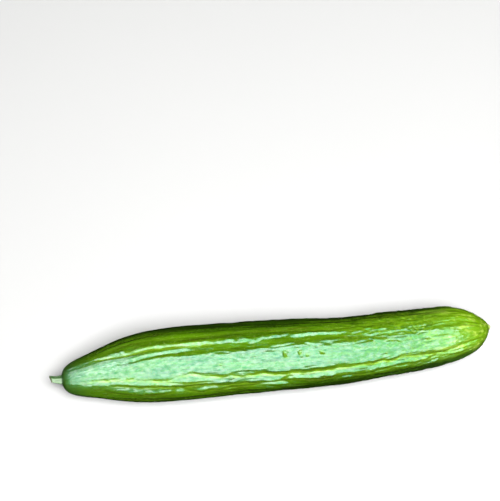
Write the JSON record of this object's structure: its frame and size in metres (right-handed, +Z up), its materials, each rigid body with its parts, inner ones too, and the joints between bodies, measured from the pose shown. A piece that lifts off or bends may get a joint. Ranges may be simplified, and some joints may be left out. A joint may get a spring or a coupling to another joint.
{
  "type": "cucumber",
  "caption": "Long hothouse cucumber lying on its side, gently bowed, with ribs, wavy furrows and puckered waxy skin, a flower scar at one end and a short cut stalk stub at the other.",
  "frame": {"origin": "middle of the footprint, on the surface that the cucumber lies on", "axes": "+X along the fruit from its stem end to its flower end, +Z up; the side that the picture shows faces -Y and +Z"},
  "size_m": [0.3098, 0.0528, 0.0504],
  "materials": {
    "waxy_skin": "glossy waxy green skin, darker on the back and belly, yellow-green towards the flower scar",
    "stalk": "pale green ribbed stalk with a dull, slightly dried cut end"
  },
  "bodies": {
    "root": {"fruit": "waxy_skin", "stem_stub": "stalk"}
  },
  "joints": []
}
